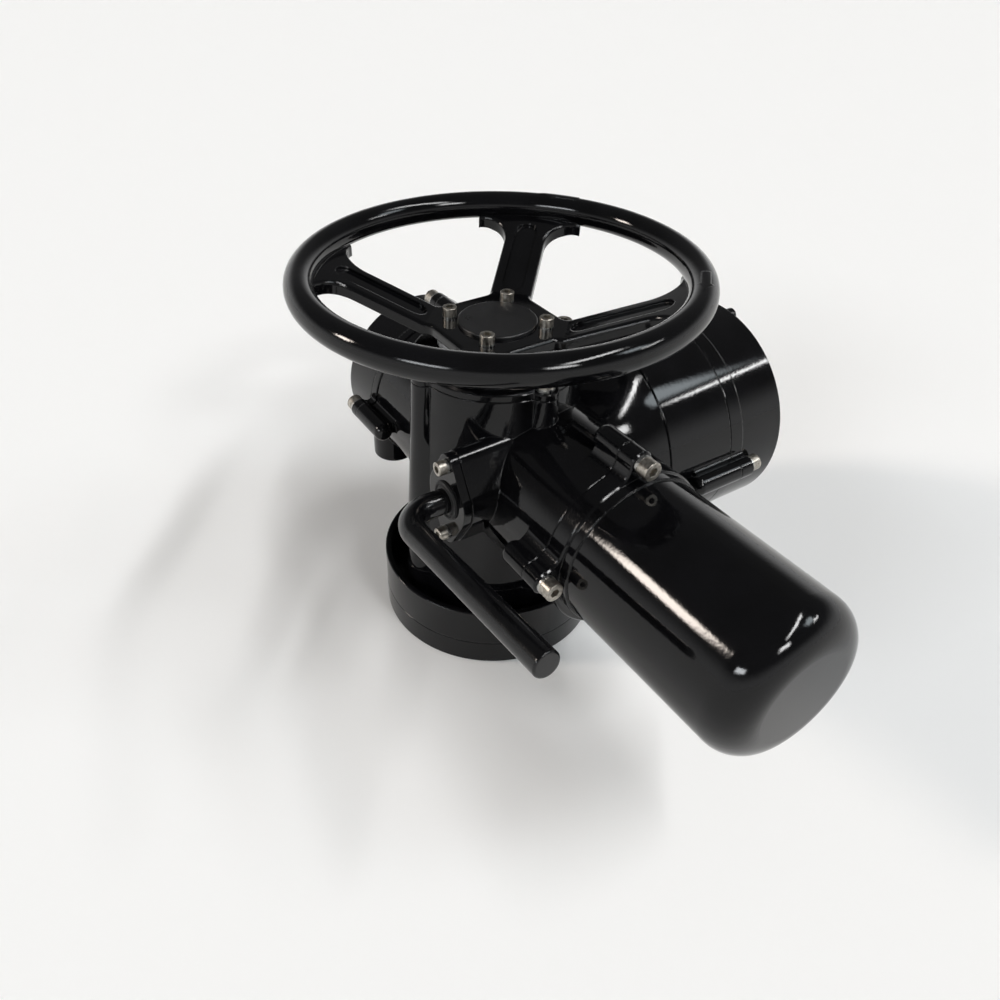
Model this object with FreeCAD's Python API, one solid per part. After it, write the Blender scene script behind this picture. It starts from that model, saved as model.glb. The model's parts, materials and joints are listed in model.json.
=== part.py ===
"""Multi-turn electric actuator: gearbox, motor, control drum, handwheel and declutch lever.

Origin: centre of the base mounting face. +Z is the output and handwheel axis,
+X points along the motor, +Y along the control drum. Millimetres and degrees.
"""
import FreeCAD
import Part
import math
import os

# Fits and small details
running = 0.05
seat_gap = 0.2
slide_gap = 0.12
screw_slack = 0.15
edge_break = 1.2
seam_break = 0.5
seam_land = 3.0
cut_over = 1.0
same_place = 0.01
boss_end_share = 0.7
flank_steps = 3
tooth_angle = 20.0
tooth_root = 1.25

# Cap screws, their spring washers and their holes
m8_radius = 4.0
m8_head_radius = 6.5
m8_head_height = 8.0
m8_socket = 3.4
m8_washer = 2.2
m6_radius = 3.0
m6_head_radius = 5.0
m6_head_height = 6.0
m6_socket = 2.85
m6_washer = 1.6
socket_share = 0.55
washer_share = 1.62
slit_half = 0.5
slit_slant = 0.3
thread_depth = 18.0
hole_spare = 2.0
cover_screw_length = 28.0
lid_screw_length = 25.0
counterbore_radius = m8_head_radius + 0.7
counterbore_depth = m8_head_height + 1.0

# Ball bearings, as shares of the room between bore and outer ring
ball_share = 0.27
race_share = 0.55
groove_play = 0.05

# Base and mounting interface
base_radius = 87.5
ring_height = 20.7
cup_height = 32.0
cup_wall = 5.0
cup_floor = 9.0
cup_clearance = 2.5
boss_height = 40.0
register_radius = 50.0
register_depth = 4.5
mount_circle = 70.0
mount_tap_radius = 7.0
mount_count = 4
mount_turn = 45.0
ring_screw_circle = base_radius - 11.5
ring_screw_spare = 2.0
cup_hole_spare = 1.5
seal_seat = 8.0
seal_radius = 33.0
seal_height = 8.0

# Gear column
column_height = 163.5
column_foot_radius = 68.7
column_top_radius = 60.8
column_bore = 50.0
floor_thickness = 31.0
lobe_circle = column_top_radius - 2.1
lobe_top_radius = 9.5
lobe_foot_radius = 17.0
gear_level = 149.5
bearing_radius = 42.0
bearing_width = 16.0
bearing_lip = 4.0
bearing_balls = 12

# Top cover with the handwheel's bush and seal
lid_thickness = 5.0
lid_blend = 2.0
lid_boss_radius = 40.0
lid_boss_height = 10.3
bush_wall = 3.0
lip_width = 6.0
lip_height = 4.0

# Motor side, along +X
motor_offset = 11.0
motor_radius = 55.0
motor_wall = 4.5
neck_radius = motor_radius + 4.7
neck_bore = motor_radius - 5.0
neck_drop = 2.7
housing_face = 131.0
flange_thickness = 14.0
motor_end = 289.5
motor_end_round = 22.5
motor_end_wall = 6.0
collar_length = 7.0
collar_step = 1.3
collar_round = 0.8
motor_screw_circle = motor_radius + 12.0
motor_boss_radius = 8.5
motor_boss_length = 23.0
motor_blend = 14.0

# Inside the motor
end_plate_thickness = 8.0
bearing_hub_wall = 6.0
rear_hub_wall = 5.0
shaft_hole_play = 2.0
stator_radius = motor_radius - motor_wall
stator_start = housing_face + 30.0
stator_length = 74.0
rotor_radius = 30.0
air_gap = 0.6
winding_inner = 33.0
winding_outer = 47.0
winding_length = 14.0
winding_round = 4.2
motor_shaft_radius = 8.0
motor_bearing_outer = 20.0
motor_bearing_width = 12.0
motor_bearing_balls = 8
rear_bearing_room = 4.0
shaft_spare = 2.0

# Terminal side, along -X
terminal_radius = 63.5
terminal_wall = 6.0
terminal_step = 1.0
terminal_face = 94.0
terminal_flange = 8.0
terminal_end = 144.0
terminal_screw_circle = terminal_radius + 11.5
terminal_boss_radius = 7.6
terminal_boss_length = 36.0
terminal_top_boss_length = 24.0
terminal_blend = 4.0
end_round = 4.0
entry_place = 121.5
entry_offset = -24.7
entry_radius = 18.0
entry_level = 80.0
entry_round = 3.0
entry_bore = 11.75
entry_depth = 17.0
entry_relief = 13.5
block_length = 76.0
block_height = 22.0
block_depth = 16.0
block_drop = 18.0
pole_count = 10
well_share = 0.32
clamp_share = 0.3
well_depth = 8.0
clamp_height = 4.0
clamp_slot = 1.0

# Control side, along +Y
drum_level = 122.6
drum_radius = 89.8
drum_wall = 6.5
drum_step = 0.4
shoulder_start = 24.0
shoulder_radius = 58.0
shoulder_bulge = 6.0
drum_start = 104.0
partition_thickness = 14.0
drum_face = 166.0
drum_flange = 13.0
drum_end = 222.0
drum_end_round = 1.2
drum_screw_circle = drum_radius + 6.4
drum_boss_radius = 8.5
drum_boss_length = 42.0
drum_blend = 4.0
plug_circle = drum_radius - 7.6
plug_angle = 84.0
plug_radius = 5.6
plug_height = 8.0
plug_shank = 3.0
plug_depth = 5.0
plug_socket = 2.5
plug_socket_depth = 4.0
plug_vent = 1.0

# Sealing cords of the four joint faces
cord_width = 2.2
column_cord = column_bore + 2.3
motor_cord = neck_bore + 2.7
terminal_cord = terminal_radius - 3.0
drum_cord = drum_radius - 3.3

# Declutch lever side, along -Y
lever_place = 52.0
lever_level = 160.0
stub_radius = 24.0
stub_lobe_offset = 28.5
stub_lobe_radius = 9.5
stub_end = 66.0
stub_step = 1.0
lever_cap_thickness = 6.5
lever_cap_land = 2.0
lever_cap_thread = 12.0
lever_seal_wall = 5.0
lever_seal_stand = 1.5
lever_seal_groove = 1.0
lever_radius = 9.0
lever_plane = 109.0
lever_bend = 23.0
lever_reach = 165.5
lever_tilt = 5.6
lever_end_round = 1.5
lever_shaft_spare = 0.5

# Shift fork on the lever shaft
fork_arm_gap = 27.3
fork_reach = 28.0
fork_rise = 15.0
fork_pin_radius = 4.0
fork_hub_radius = 12.5
fork_arm_thickness = 5.0
fork_clearance = 19.0
fork_chamber = neck_bore - 0.6
fork_slot_edge = 6.0
pin_length = 4.0

# Handwheel
wheel_rim_circle = 132.8
wheel_rim_radius = 9.9
wheel_rim_level = 288.9
hub_top = 252.8
hub_thickness = 7.6
hub_crease = 48.0
hub_radius = 50.0
spoke_turn = 45.0
spoke_thickness = 9.0
spoke_end = 128.0
spoke_drop = 3.5
spoke_lip = 5.0
spoke_knee = 10.0
spoke_half_width = 15.5
spoke_bar_half = 40.0
spoke_round = 3.0
window_inner = 46.6
window_outer = 125.5
window_inner_round = 8.0
window_outer_round = 20.0
window_height = 80.0
arrow_angles = [(49.0, 36.5), (119.5, 133.0)]
arrow_shaft_width = 6.0
arrow_head_width = 10.0
arrow_head_start = 0.62
arrow_rise = 0.5
pocket_half_width = 8.0
pocket_inner = 59.0
pocket_outer = 108.0
pocket_depth = 2.5
hub_screw_circle = 34.1
hub_screw_thread = 4.0
cap_radius = 27.9
cap_thickness = 2.5
cap_spigot = 22.0
cap_spigot_depth = 4.0

# Worm and worm wheel
wheel_teeth = 30
worm_module = 2.25
worm_offset = 45.5
worm_turns = 5
tooth_play = 0.5
wheel_thickness = 21.0
worm_bearing_step = 0.9
worm_bearing_outer = 16.0
worm_bearing_width = 12.0
worm_bearing_balls = 10
worm_tunnel_play = 3.0
worm_shaft_end = 7.0
thread_root_cover = 0.5
web_right = 78.0
web_left = 50.0
web_thickness = 14.0
web_cone_play = 2.0
spring_count = 6
spring_outer = 13.0
spring_inner = 11.5
spring_stop_step = 4.0
spring_end_gap = 6.0
spring_nut_radius = 11.0
spring_nut_height = 4.0

# Spur pair between the motor and the worm
spur_module = 1.5
pinion_teeth = 28
gear_teeth = 18
spur_width = 14.0
spur_inset = 1.0
spur_gap = 8.0
spur_play = 0.22

# Crown gear and the position shaft
crown_teeth = 48
crown_pinion_teeth = 12
crown_module = 1.25
crown_width = 3.4
crown_play = 0.35
crown_pinion_play = 0.1
crown_root_share = 1.2
crown_collar = 4.0
crown_rim = 2.0
crown_rim_height = 9.0
crown_end_gap = 0.2
shaft_radius = 4.5
shaft_bush_wall = 4.0
shaft_bush_length = 6.0
shaft_bore_start = 40.0

# Output sleeve
bore_radius = 15.0
key_width = 8.0
key_depth = 3.3
key_length = 45.0
journal_radius = 25.0
spline_radius = 27.5
neck_journal = 21.0
sleeve_gap = 0.5
sleeve_passage = journal_radius + 3.0
bearing_step = 4.0
spline_depth = 2.5
spline_half_width = 4.0
spline_over = 1.0
wheel_collar = 3.5
wheel_collar_height = 6.0
spacer_wall = 4.0
retainer_height = 3.0
retainer_step = 0.6
wheel_ring_height = 2.0
wheel_ring_gap = 0.1

# Clutch
dog_count = 4
dog_span = 34.0
dog_inner = 30.5
dog_outer = 35.5
dog_height = 6.0
dog_gap = 0.5
dog_tip_gap = 0.3
dog_disc = 3.0
clutch_neck = 9.7
clutch_flange = 4.8
clutch_flange_radius = 39.0
clutch_key_root = 0.5
clutch_stroke = 2.2
clutch_spring_room = 16.0
spring_wire = 0.9
spring_wire_gap = 0.15
spring_coils = 4

# Drive sleeve under the handwheel
drive_radius = 36.0
drive_neck = 30.0
drive_flange_radius = 42.0
drive_cavity_gap = 3.0
drive_dog_set = 0.2
sleeve_top_drop = 3.0

# Control unit
plate_start = 146.0
plate_thickness = 3.0
plate_play = 3.0
post_radius = 4.0
post_circle = 66.0
post_angles = [45, 135, 225, 315]
cam_gear_teeth = 60
cam_pinion_teeth = 15
cam_module = 1.0
cam_gear_width = 5.0
cam_gear_gap = 1.0
cam_shaft_room = 4.0
cam_shaft_tail = 6.0
cam_radius = 14.0
cam_width = 6.0
cam_gap = 2.0
cam_count = 4
cam_notch_radius = 6.0
cam_notch_set = 4.0
cam_step_angle = 10.0
switch_half = 10.0
switch_lift = 3.0
plunger_radius = 1.5
plunger_length = 2.4
bracket_gap = 1.5
bracket_thickness = 2.5
bracket_half = 12.0
bracket_height = 12.0

V = FreeCAD.Vector
AXES = {"X": V(1, 0, 0), "Y": V(0, 1, 0), "Z": V(0, 0, 1)}
QUARTERS = [0, 90, 180, 270]
M8 = (m8_radius, m8_head_radius, m8_head_height, m8_socket)
M6 = (m6_radius, m6_head_radius, m6_head_height, m6_socket)
M8_HOLE = m8_radius + screw_slack
M6_HOLE = m6_radius + screw_slack

# Levels along the output axis, from the base up
cup_top = ring_height + cup_height
column_foot = ring_height + boss_height
column_top = column_foot + column_height
cavity_floor = column_foot + floor_thickness
lower_bearing = ring_height + bearing_lip
upper_bearing = cavity_floor - bearing_width
sleeve_foot = register_depth + sleeve_gap
crown_line = drum_level - crown_module * crown_pinion_teeth / 2
crown_root = crown_line - crown_root_share * crown_module
crown_radius = crown_module * crown_teeth / 2
wheel_foot = gear_level - wheel_thickness / 2
wheel_top = gear_level + wheel_thickness / 2
clutch_disc = wheel_top + dog_height + dog_gap
clutch_neck_foot = clutch_disc + dog_disc
clutch_collar = clutch_neck_foot + clutch_neck
clutch_top = clutch_collar + clutch_flange
clutch_dog_top = clutch_top + dog_height
drive_dog_foot = clutch_dog_top + clutch_stroke
drive_dog_root = drive_dog_foot + dog_height - drive_dog_set
spline_top = clutch_top + clutch_spring_room
drive_cavity = spline_top + retainer_height + drive_cavity_gap
lid_top = column_top + lid_thickness
lid_boss_top = lid_top + lid_boss_height
bush_outer = drive_neck + bush_wall
bush_top = lid_boss_top - lip_height
lip_outer = drive_neck + lip_width
hub_foot = hub_top - hub_thickness
spoke_top = wheel_rim_level - spoke_drop
spoke_slope = (spoke_top - hub_top) / (spoke_end - hub_crease)
sleeve_top = lid_boss_top - sleeve_top_drop

# Places along the worm and motor
worm_pitch_radius = worm_offset - worm_module * wheel_teeth / 2
worm_tip = worm_pitch_radius + worm_module
worm_root = worm_pitch_radius - tooth_root * worm_module
worm_lead = math.pi * worm_module
worm_tunnel = worm_tip + worm_tunnel_play
worm_bearing_bore = worm_root - worm_bearing_step
thread_half = worm_lead / 4 - tooth_play / 2
spring_start = terminal_face - spring_end_gap
spring_stop = web_left + web_thickness + spring_stop_step
spur_start = web_right + web_thickness + spur_gap
collar_face = housing_face + flange_thickness
rear_bearing = motor_end - motor_end_wall - motor_bearing_width - rear_bearing_room

# Places along the control drum
gear_face = plate_start + plate_thickness + cam_gear_gap
cam_start = gear_face + cam_gear_width + cam_gap
cam_pitch = cam_width + cam_gap
bracket_level = drum_level + cam_module * (cam_gear_teeth / 2 + 1) + bracket_gap

# Centres of the axes, each in the plane across it
ORIGIN = (0, 0)
MOTOR = (motor_offset, gear_level)
NECK = (motor_offset, gear_level - neck_drop)
TERMINAL = (motor_offset, gear_level)
WORM = (worm_offset, gear_level)
DRUM = (0, drum_level)
LEVER = (lever_place, lever_level)
ENTRY = (-entry_place, entry_offset)
CAM = (-cam_module * (cam_gear_teeth + cam_pinion_teeth) / 2, drum_level)
LEVER_LOBES = [(lever_place, lever_level + side * stub_lobe_offset) for side in (-1, 1)]


def spot(axis, centre, distance):
    """Point at a distance along an axis line through a centre."""
    a, b = centre
    return {"X": V(distance, a, b), "Y": V(a, distance, b), "Z": V(a, b, distance)}[axis]


def around(centre, radius, angle):
    """Centre of a feature on a circle about another centre."""
    turn = math.radians(angle)
    return (centre[0] + radius * math.cos(turn), centre[1] + radius * math.sin(turn))


def rod(axis, centre, radius, start, end):
    low, high = min(start, end), max(start, end)
    return Part.makeCylinder(radius, high - low, spot(axis, centre, low), AXES[axis])


def ring(axis, centre, outer, inner, start, end):
    return rod(axis, centre, outer, start, end).cut(rod(axis, centre, inner, start, end))


def taper(axis, centre, first, last, start, end):
    return Part.makeCone(first, last, end - start, spot(axis, centre, start), AXES[axis])


def block(low, high):
    size = V(*high) - V(*low)
    return Part.makeBox(size.x, size.y, size.z, V(*low))


def union(shapes):
    return shapes[0].multiFuse(shapes[1:]).removeSplitter()


def without(shape, cuts):
    return shape.cut(Part.makeCompound(cuts))


def turned_copies(shape, angles):
    """Copies of a shape, each turned about the output axis."""
    copies = []
    for angle in angles:
        copy = shape.copy()
        copy.rotate(V(0, 0, 0), AXES["Z"], angle)
        copies.append(copy)
    return copies


def prism(axis, points, start, end):
    """Straight prism on an outline given across the axis."""
    corners = [spot(axis, point, start) for point in points]
    face = Part.Face(Part.makePolygon(corners + corners[:1]))
    return face.extrude(AXES[axis] * (end - start))


def revolved(axis, centre, profile):
    """Solid of revolution from (radius, distance) corners."""
    out = AXES["Y"] if axis == "X" else AXES["X"]
    corners = [spot(axis, centre, distance) + out * radius for radius, distance in profile]
    face = Part.Face(Part.makePolygon(corners + corners[:1]))
    return face.revolve(spot(axis, centre, 0), AXES[axis], 360)


def circle_at(axis, distance, radius):
    """Test for a circular edge across an axis at one distance and radius."""
    index = "XYZ".index(axis)

    def wanted(edge):
        if not isinstance(edge.Curve, Part.Circle):
            return False
        middle = edge.Curve.Center[index]
        return abs(middle - distance) < same_place and abs(edge.Curve.Radius - radius) < same_place

    return wanted


def edge_in_plane(axis, distance):
    """Test for an edge that lies in one plane across an axis."""

    def wanted(edge):
        box = edge.BoundBox
        low, high = {"X": (box.XMin, box.XMax), "Y": (box.YMin, box.YMax), "Z": (box.ZMin, box.ZMax)}[axis]
        return abs(low - distance) < same_place and abs(high - distance) < same_place

    return wanted


def rounded(shape, radius, wanted):
    """Fillet on every edge that the test accepts."""
    return shape.makeFillet(radius, [edge for edge in shape.Edges if wanted(edge)])


def chamfered(shape, size, wanted):
    """Chamfer on every edge that the test accepts."""
    return shape.makeChamfer(size, [edge for edge in shape.Edges if wanted(edge)])


def blended_web(axis, disc, radius, place, lug_radius, blend, start, end):
    """Web from a disc to a round lug, with a hollow curve on each side."""
    gap = math.dist(disc, place)
    line = math.degrees(math.atan2(place[1] - disc[1], place[0] - disc[0]))
    near, far = radius + blend, lug_radius + blend
    lean = math.degrees(math.acos((near ** 2 + gap ** 2 - far ** 2) / (2 * near * gap)))
    hollows = [around(disc, near, line + side * lean) for side in (-1, 1)]
    web = prism(axis, [disc, hollows[0], place, hollows[1]], start, end)
    return without(web, [rod(axis, hollow, blend, start, end) for hollow in hollows])


def lobed_disc(axis, disc, radius, centre, circle, lug_radius, blend, start, end):
    """Disc with four round lugs, blended where they leave it."""
    shapes = [rod(axis, disc, radius, start, end)]
    for angle in QUARTERS:
        place = around(centre, circle, angle)
        shapes.append(rod(axis, place, lug_radius, start, end))
        shapes.append(blended_web(axis, disc, radius, place, lug_radius, blend, start, end))
    return union(shapes)


def screw_bosses(axis, disc, radius, centre, circle, lug_radius, blend, face, lengths, way):
    """Long screw bosses that run back from a joint face and end rounded."""
    bosses = []
    end_radius = lug_radius * boss_end_share
    for angle, length in zip(QUARTERS, lengths):
        place = around(centre, circle, angle)
        back = face - way * length
        body = rod(axis, place, lug_radius, back, face)
        bosses.append(rounded(body, end_radius, circle_at(axis, back, lug_radius)))
        low, high = sorted((back + way * end_radius, face))
        bosses.append(blended_web(axis, disc, radius, place, lug_radius, blend, low, high))
    return bosses


def hexagon(centre, across_corners):
    return [around(centre, across_corners, 60 * side) for side in range(6)]


def tangent_band(first, first_radius, second, second_radius):
    """Corner points of the straight band that joins two circles."""
    gap = math.dist(first, second)
    line = math.degrees(math.atan2(second[1] - first[1], second[0] - first[0]))
    lean = math.degrees(math.acos((first_radius - second_radius) / gap))
    return [around(first, first_radius, line + lean), around(second, second_radius, line + lean),
            around(second, second_radius, line - lean), around(first, first_radius, line - lean)]


def banded(axis, first, first_radius, second, second_radius, start, end):
    """Two round ends joined by a straight-sided band."""
    band = prism(axis, tangent_band(first, first_radius, second, second_radius), start, end)
    ends = [rod(axis, first, first_radius, start, end), rod(axis, second, second_radius, start, end)]
    return union(ends + [band])


def cap_screw(axis, centre, seat, way, size, length):
    """Socket head screw whose head sits on the seat and points the given way."""
    radius, head, height, socket = size
    top = seat + way * height
    body = rod(axis, centre, head, seat, top)
    body = rounded(body, edge_break / 2, circle_at(axis, top, head))
    body = body.cut(prism(axis, hexagon(centre, socket), top - way * height * socket_share,
                          top + way * cut_over))
    return union([body, rod(axis, centre, radius, seat, seat - way * length)])


def spring_washer(axis, centre, seat, way, hole, height):
    """Split washer standing on its seat."""
    outer = hole * washer_share
    near, far = centre[0] + hole - cut_over, centre[0] + outer + cut_over
    slit = [(near, centre[1] - slit_half), (far, centre[1] - slit_half - slit_slant),
            (far, centre[1] + slit_half - slit_slant), (near, centre[1] + slit_half)]
    low, high = sorted((seat, seat + way * height))
    body = ring(axis, centre, outer, hole, low, high)
    return body.cut(prism(axis, slit, low - cut_over, high + cut_over))


def cover_screws(axis, centre, circle, face, way, length=cover_screw_length):
    """Four cap screws through a cover's lugs, on their washers."""
    seat = face + way * m8_washer
    return [cap_screw(axis, around(centre, circle, angle), seat, way, M8, length)
            for angle in QUARTERS]


def cover_washers(axis, centre, circle, face, way):
    return [spring_washer(axis, around(centre, circle, angle), face, way, M8_HOLE, m8_washer)
            for angle in QUARTERS]


def ball_bearing(axis, centre, bore, outer, start, width, balls):
    """Two races and their balls."""
    end = start + width
    middle = start + width / 2
    pitch = (bore + outer) / 2
    ball = (outer - bore) * ball_share
    groove = Part.makeTorus(pitch, ball + groove_play, spot(axis, centre, middle), AXES[axis])
    inner = ring(axis, centre, pitch - ball * race_share, bore, start, end).cut(groove)
    rim = ring(axis, centre, outer, pitch + ball * race_share, start, end).cut(groove)
    spheres = [Part.makeSphere(ball, spot(axis, around(centre, pitch, 360 * n / balls), middle))
               for n in range(balls)]
    return Part.makeCompound([inner, rim] + spheres)


def gear_outline(centre, teeth, module, play, phase):
    """Closed outline of a spur gear with involute flanks."""
    pitch = module * teeth / 2
    base = pitch * math.cos(math.radians(tooth_angle))
    tip, root = pitch + module, pitch - tooth_root * module
    half = math.pi / (2 * teeth) - play / (2 * pitch)
    spread = math.tan(math.radians(tooth_angle)) - math.radians(tooth_angle)
    flank_foot = max(root, base)
    radii = [root] + [flank_foot + (tip - flank_foot) * step / flank_steps for step in range(flank_steps + 1)]
    flank = []
    for radius in radii:
        bend = math.acos(min(1, base / radius))
        flank.append((radius, math.degrees(half + spread - (math.tan(bend) - bend))))
    points = []
    for tooth in range(teeth):
        middle = phase + 360 * tooth / teeth
        points += [around(centre, radius, middle - angle) for radius, angle in flank]
        points += [around(centre, radius, middle + angle) for radius, angle in reversed(flank)]
    return points


def mounting_ring():
    body = rod("Z", ORIGIN, base_radius, 0, ring_height)
    body = rounded(body, edge_break, circle_at("Z", 0, base_radius))
    body = chamfered(body, seam_break, circle_at("Z", ring_height, base_radius))
    cuts = [rod("Z", ORIGIN, register_radius, 0, register_depth),
            rod("Z", ORIGIN, sleeve_passage, 0, ring_height),
            rod("Z", ORIGIN, seal_radius, seal_seat, ring_height)]
    for turn in range(mount_count):
        place = around(ORIGIN, mount_circle, mount_turn + 360 * turn / mount_count)
        cuts.append(rod("Z", place, mount_tap_radius, 0, ring_height))
    for angle in QUARTERS:
        place = around(ORIGIN, ring_screw_circle, angle)
        cuts.append(rod("Z", place, M8_HOLE, 0, ring_height))
        cuts.append(rod("Z", place, counterbore_radius, 0, counterbore_depth))
    return without(body, cuts)


def ring_screws():
    length = ring_height - counterbore_depth + cup_floor - ring_screw_spare
    return [cap_screw("Z", around(ORIGIN, ring_screw_circle, angle), counterbore_depth, -1, M8, length)
            for angle in QUARTERS]


def output_seal():
    return ring("Z", ORIGIN, seal_radius, journal_radius + running, seal_seat, seal_seat + seal_height)


def base_cup():
    """Open cup round the foot boss that carries the gear column."""
    inside = base_radius - cup_wall
    wall = ring("Z", ORIGIN, base_radius, inside, ring_height, cup_top)
    wall = rounded(wall, edge_break, edge_in_plane("Z", cup_top))
    wall = chamfered(wall, seam_break, circle_at("Z", ring_height, base_radius))
    floor = rod("Z", ORIGIN, inside, ring_height, ring_height + cup_floor)
    foot = rod("Z", ORIGIN, column_foot_radius, ring_height, column_foot)
    lobes = [rod("Z", around(ORIGIN, lobe_circle, angle), lobe_foot_radius, ring_height, column_foot)
             for angle in QUARTERS]
    cuts = [rod("Z", ORIGIN, bearing_radius - bearing_step, ring_height, column_foot),
            rod("Z", ORIGIN, bearing_radius, lower_bearing, column_foot)]
    for angle in QUARTERS:
        cuts.append(rod("Z", around(ORIGIN, ring_screw_circle, angle), M8_HOLE,
                        ring_height, ring_height + cup_floor - cup_hole_spare))
        place = around(ORIGIN, lobe_circle, angle)
        cuts.append(rod("Z", place, M8_HOLE, ring_height, column_foot))
        cuts.append(rod("Z", place, counterbore_radius, ring_height, ring_height + counterbore_depth))
    return without(union([wall, floor, foot] + lobes), cuts)


def base_screws():
    seat = ring_height + counterbore_depth
    length = column_foot - seat + thread_depth
    return [cap_screw("Z", around(ORIGIN, lobe_circle, angle), seat, -1, M8, length) for angle in QUARTERS]


def output_bearings():
    return [ball_bearing("Z", ORIGIN, journal_radius + running, bearing_radius, start, bearing_width,
                         bearing_balls) for start in (lower_bearing, upper_bearing)]


def lobed_column():
    """Tapered gear column with four screw lobes."""
    land = column_top - seam_break
    body = taper("Z", ORIGIN, column_foot_radius, column_top_radius, column_foot, land)
    lobes = []
    for angle in QUARTERS:
        place = around(ORIGIN, lobe_circle, angle)
        lobes.append(taper("Z", place, lobe_foot_radius, lobe_top_radius, column_foot, land))
    lip = lobed_disc("Z", ORIGIN, column_top_radius, ORIGIN, lobe_circle, lobe_top_radius, lid_blend,
                     land - seam_break, column_top)
    return union([body, chamfered(lip, seam_break, edge_in_plane("Z", column_top))] + lobes)


def control_shoulder():
    """Bulged transition from the column to the control drum."""
    foot = spot("Y", DRUM, shoulder_start)
    centre = spot("Y", DRUM, drum_start)
    start = foot + AXES["X"] * shoulder_radius
    end = centre + AXES["X"] * (drum_radius - edge_break)
    middle = (start + end) * 0.5 + V(shoulder_bulge, -shoulder_bulge, 0)
    outline = Part.Wire([Part.LineSegment(foot, start).toShape(), Part.Arc(start, middle, end).toShape(),
                         Part.LineSegment(end, centre).toShape(), Part.LineSegment(centre, foot).toShape()])
    return Part.Face(outline).revolve(foot, AXES["Y"], 360)


def drum_body():
    body = rod("Y", DRUM, drum_radius, drum_start, drum_face - seam_land)
    return chamfered(body, seam_break, circle_at("Y", drum_start, drum_radius))


def joint_land(axis, disc, radius, centre, circle, lug_radius, blend, face, way):
    """Last few millimetres before a joint face, with the seam edge broken."""
    low, high = sorted((face - way * seam_land, face))
    land = lobed_disc(axis, disc, radius, centre, circle, lug_radius, blend, low, high)
    return chamfered(land, seam_break, edge_in_plane(axis, face))


def lever_stub(start, end):
    """Boss of the declutch shaft with its two screw lobes."""
    return union([banded("Y", LEVER, stub_radius, lobe, stub_lobe_radius, start, end)
                  for lobe in LEVER_LOBES])


def joint_seals():
    """Square sealing cords let into the housing's four joint faces."""
    half = cord_width / 2
    places = [("X", MOTOR, motor_cord, housing_face - cord_width),
              ("X", TERMINAL, terminal_cord, -terminal_face),
              ("Y", DRUM, drum_cord, drum_face - cord_width),
              ("Z", ORIGIN, column_cord, column_top - cord_width)]
    return [ring(axis, centre, radius + half, radius - half, start, start + cord_width)
            for axis, centre, radius, start in places]


def housing_cavities():
    """Hollows of the gear housing, each open where the real one is."""
    arm_room = fork_arm_gap + fork_arm_thickness + cut_over
    return [
        rod("Z", ORIGIN, column_bore, cavity_floor, column_top),
        rod("Z", ORIGIN, bearing_radius, upper_bearing, cavity_floor),
        rod("Z", ORIGIN, bearing_radius - bearing_step, column_foot, cavity_floor),
        rod("Z", ORIGIN, base_radius + cup_clearance, 0, column_foot),
        rod("X", MOTOR, fork_chamber, 0, web_right),
        rod("X", MOTOR, neck_bore, web_right + web_thickness, housing_face),
        rod("X", WORM, worm_tunnel, -web_left, web_right),
        rod("X", WORM, worm_bearing_outer, -web_left - web_thickness, web_right + web_thickness),
        rod("X", TERMINAL, terminal_radius - terminal_wall, -terminal_face, -web_left - web_thickness),
        rod("Y", DRUM, drum_radius - drum_wall, drum_start + partition_thickness, drum_face),
        rod("Y", DRUM, shaft_radius + running, shaft_bore_start, drum_face),
        rod("Y", LEVER, lever_radius + running, -stub_end, 0),
        rod("Y", LEVER, fork_clearance, -arm_room, 0),
        block((0, -arm_room, gear_level), (lever_place - fork_slot_edge, 0, clutch_top)),
    ]


def tapped_hole(axis, place, face, way):
    """Hole that takes a cover screw, drilled back from a joint face."""
    return rod(axis, place, M8_HOLE, face, face - way * (thread_depth + hole_spare))


def housing_screw_holes():
    holes = [rod("Y", lobe, M6_HOLE, -stub_end, thread_depth - stub_end) for lobe in LEVER_LOBES]
    for angle in QUARTERS:
        lobe = around(ORIGIN, lobe_circle, angle)
        holes.append(tapped_hole("Z", lobe, column_foot, -1))
        holes.append(tapped_hole("Z", lobe, column_top, 1))
        holes.append(tapped_hole("X", around(MOTOR, motor_screw_circle, angle), housing_face, 1))
        holes.append(tapped_hole("X", around(TERMINAL, terminal_screw_circle, angle), -terminal_face, -1))
        holes.append(tapped_hole("Y", around(DRUM, drum_screw_circle, angle), drum_face, 1))
    return holes


def gear_housing():
    """Casting that holds the gears and takes motor, covers and control drum."""
    motor_joint = (NECK, neck_radius, MOTOR, motor_screw_circle, motor_boss_radius, motor_blend)
    terminal_joint = (TERMINAL, terminal_radius, TERMINAL, terminal_screw_circle, terminal_boss_radius,
                      terminal_blend)
    drum_joint = (DRUM, drum_radius, DRUM, drum_screw_circle, drum_boss_radius, drum_blend)
    terminal_lengths = [terminal_boss_length, terminal_top_boss_length] + [terminal_boss_length] * 2
    outside = [lobed_column(), control_shoulder(), drum_body(), lever_stub(-stub_end, 0),
               rod("X", NECK, neck_radius, 0, housing_face - seam_land),
               rod("X", TERMINAL, terminal_radius, seam_land - terminal_face, 0),
               joint_land("X", *motor_joint, housing_face, 1),
               joint_land("X", *terminal_joint, -terminal_face, -1),
               joint_land("Y", *drum_joint, drum_face, 1)]
    outside += screw_bosses("X", *motor_joint, housing_face - seam_land, [motor_boss_length] * 4, 1)
    outside += screw_bosses("X", *terminal_joint, seam_land - terminal_face, terminal_lengths, -1)
    outside += screw_bosses("Y", *drum_joint, drum_face - seam_land, [drum_boss_length] * 4, 1)
    return without(union(outside), housing_cavities() + housing_screw_holes() + joint_seals())


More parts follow.
